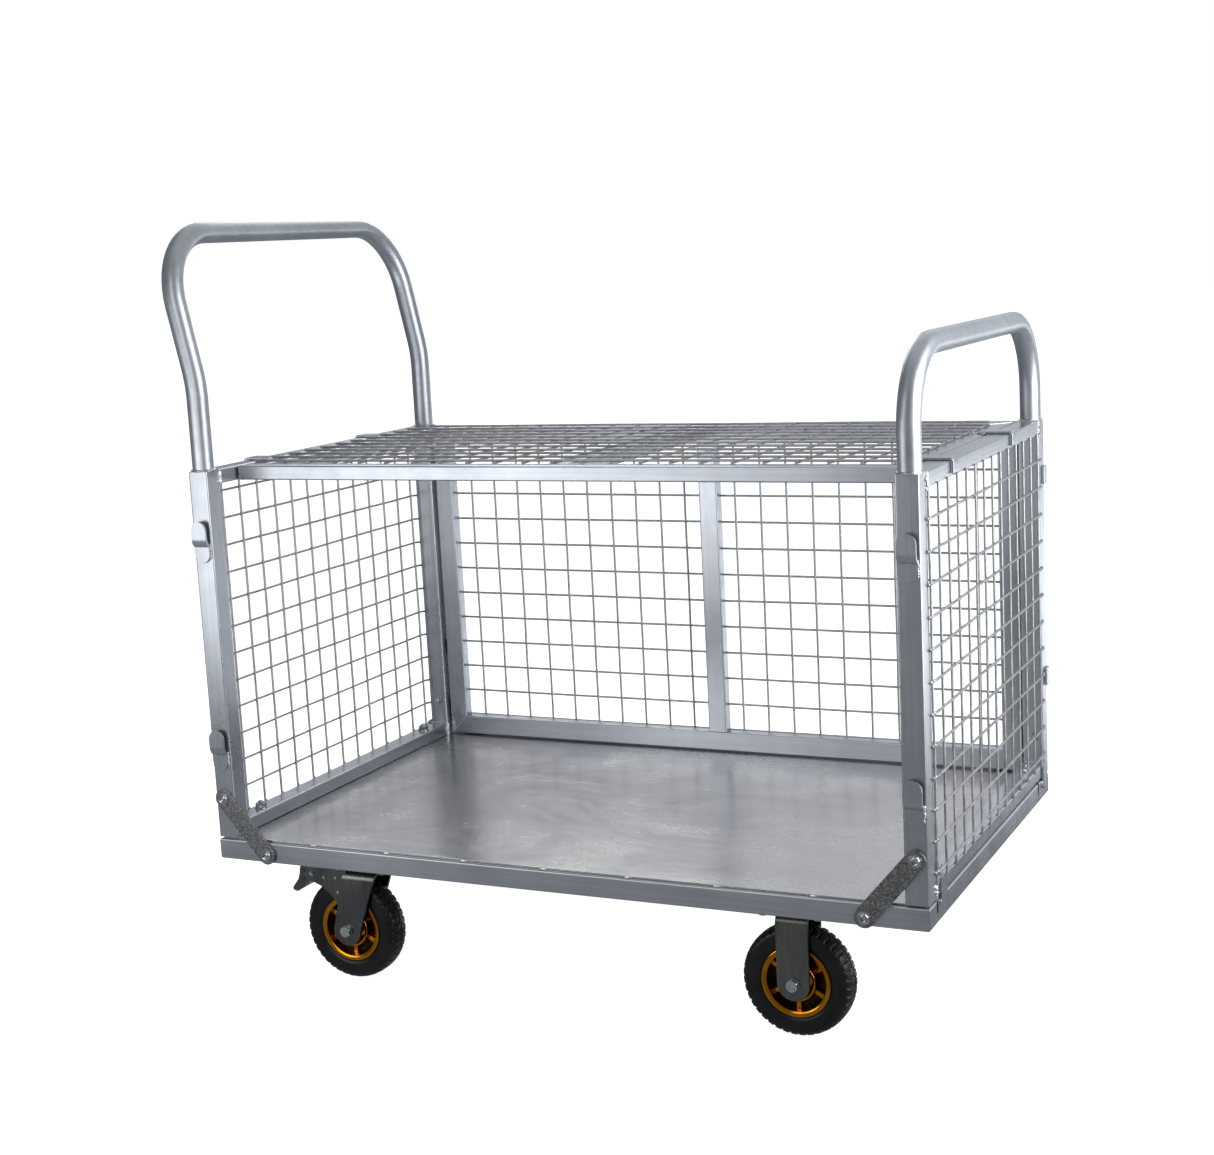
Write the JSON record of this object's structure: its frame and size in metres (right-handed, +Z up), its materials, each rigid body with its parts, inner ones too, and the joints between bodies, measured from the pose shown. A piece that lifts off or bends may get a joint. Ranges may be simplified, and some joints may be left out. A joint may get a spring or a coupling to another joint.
{
  "type": "caged platform trolley",
  "caption": "Steel platform trolley with mesh sides, a lift-off mesh lid, an open front, a tall push handle, a short handle, and rigid and braked swivel casters.",
  "frame": {"origin": "on the floor, below the middle of the whole trolley's bounding box", "axes": "+X along the deck from the tall push handle to the short handle, -Y the open front, +Z up"},
  "size_m": [1.2536, 0.751, 1.2301],
  "materials": {
    "grey_paint": "satin silver-grey",
    "deck_steel": "brushed",
    "mesh_wire": "satin silver-grey",
    "zinc_plate": "mottled zinc",
    "caster_steel": "dark zinc",
    "tyre_rubber": "matte",
    "hub_gold": "gloss gold"
  },
  "bodies": {
    "frame": {"deck_sheet": "deck_steel", "rim_front": "grey_paint", "rim_back": "grey_paint", "rim_left": "grey_paint", "rim_right": "grey_paint", "bearer_left": "grey_paint", "bearer_middle": "grey_paint", "bearer_right": "grey_paint", "post_left_front": "grey_paint", "post_left_rear": "grey_paint", "end_top_rail_left": "grey_paint", "end_bottom_rail_left": "grey_paint", "end_grille_left": "mesh_wire", "post_right_front": "grey_paint", "post_right_rear": "grey_paint", "end_top_rail_right": "grey_paint", "end_bottom_rail_right": "grey_paint", "end_grille_right": "mesh_wire", "handle_tall": "grey_paint", "handle_short": "grey_paint", "hook_left_front_lower": "grey_paint", "hook_left_front_upper": "grey_paint", "brace_left_front": "zinc_plate", "hook_left_rear_lower": "grey_paint", "hook_left_rear_upper": "grey_paint", "brace_left_rear": "zinc_plate", "hook_right_front_lower": "grey_paint", "hook_right_front_upper": "grey_paint", "brace_right_front": "zinc_plate", "hook_right_rear_lower": "grey_paint", "hook_right_rear_upper": "grey_paint", "brace_right_rear": "zinc_plate", "swivel_plate_left_front": "caster_steel", "swivel_plate_left_rear": "caster_steel", "rigid_bracket_right_front": "caster_steel", "rigid_bracket_right_rear": "caster_steel"},
    "back_panel": {"back_bottom_tube": "grey_paint", "back_top_tube": "grey_paint", "back_left_stile": "grey_paint", "back_right_stile": "grey_paint", "back_centre_bar": "grey_paint", "back_grille": "mesh_wire"},
    "lid": {"lid_bottom_tube": "grey_paint", "lid_top_tube": "grey_paint", "lid_left_stile": "grey_paint", "lid_right_stile": "grey_paint", "lid_centre_bar": "grey_paint", "lid_grille": "mesh_wire"},
    "swivel_left_front": {"swivel_fork_left_front": "caster_steel"},
    "pedal_left_front": {"brake_pedal_left_front": "caster_steel"},
    "wheel_left_front": {"tyre_left_front": "tyre_rubber", "hub_left_front": "hub_gold"},
    "wheel_right_front": {"tyre_right_front": "tyre_rubber", "hub_right_front": "hub_gold"},
    "swivel_left_rear": {"swivel_fork_left_rear": "caster_steel"},
    "pedal_left_rear": {"brake_pedal_left_rear": "caster_steel"},
    "wheel_left_rear": {"tyre_left_rear": "tyre_rubber", "hub_left_rear": "hub_gold"},
    "wheel_right_rear": {"tyre_right_rear": "tyre_rubber", "hub_right_rear": "hub_gold"}
  },
  "joints": [
    {"name": "swivel_left_front", "type": "hinge", "parent": "frame", "child": "swivel_left_front", "pos_m": [-0.3258, -0.308, 0.1855], "axis": [0, 0, 1], "continuous": true},
    {"name": "brake_left_front", "type": "hinge", "parent": "swivel_left_front", "child": "pedal_left_front", "pos_m": [-0.4228, -0.308, 0.1755], "axis": [0, 1, 0], "range_deg": [-14, 0]},
    {"name": "spin_left_front", "type": "hinge", "parent": "swivel_left_front", "child": "wheel_left_front", "pos_m": [-0.3598, -0.308, 0.085], "axis": [0, 1, 0], "continuous": true},
    {"name": "spin_right_front", "type": "hinge", "parent": "frame", "child": "wheel_right_front", "pos_m": [0.4072, -0.308, 0.085], "axis": [0, 1, 0], "continuous": true},
    {"name": "swivel_left_rear", "type": "hinge", "parent": "frame", "child": "swivel_left_rear", "pos_m": [-0.3258, 0.308, 0.1855], "axis": [0, 0, 1], "continuous": true},
    {"name": "brake_left_rear", "type": "hinge", "parent": "swivel_left_rear", "child": "pedal_left_rear", "pos_m": [-0.4228, 0.308, 0.1755], "axis": [0, 1, 0], "range_deg": [-14, 0]},
    {"name": "spin_left_rear", "type": "hinge", "parent": "swivel_left_rear", "child": "wheel_left_rear", "pos_m": [-0.3598, 0.308, 0.085], "axis": [0, 1, 0], "continuous": true},
    {"name": "spin_right_rear", "type": "hinge", "parent": "frame", "child": "wheel_right_rear", "pos_m": [0.4072, 0.308, 0.085], "axis": [0, 1, 0], "continuous": true},
    {"name": "lid_lift", "type": "slide", "parent": "frame", "child": "lid", "axis": [0, 0, 1], "range_m": [0, 0.12]},
    {"name": "back_panel_lift", "type": "slide", "parent": "frame", "child": "back_panel", "axis": [0, 0, 1], "range_m": [0, 0.12]}
  ]
}
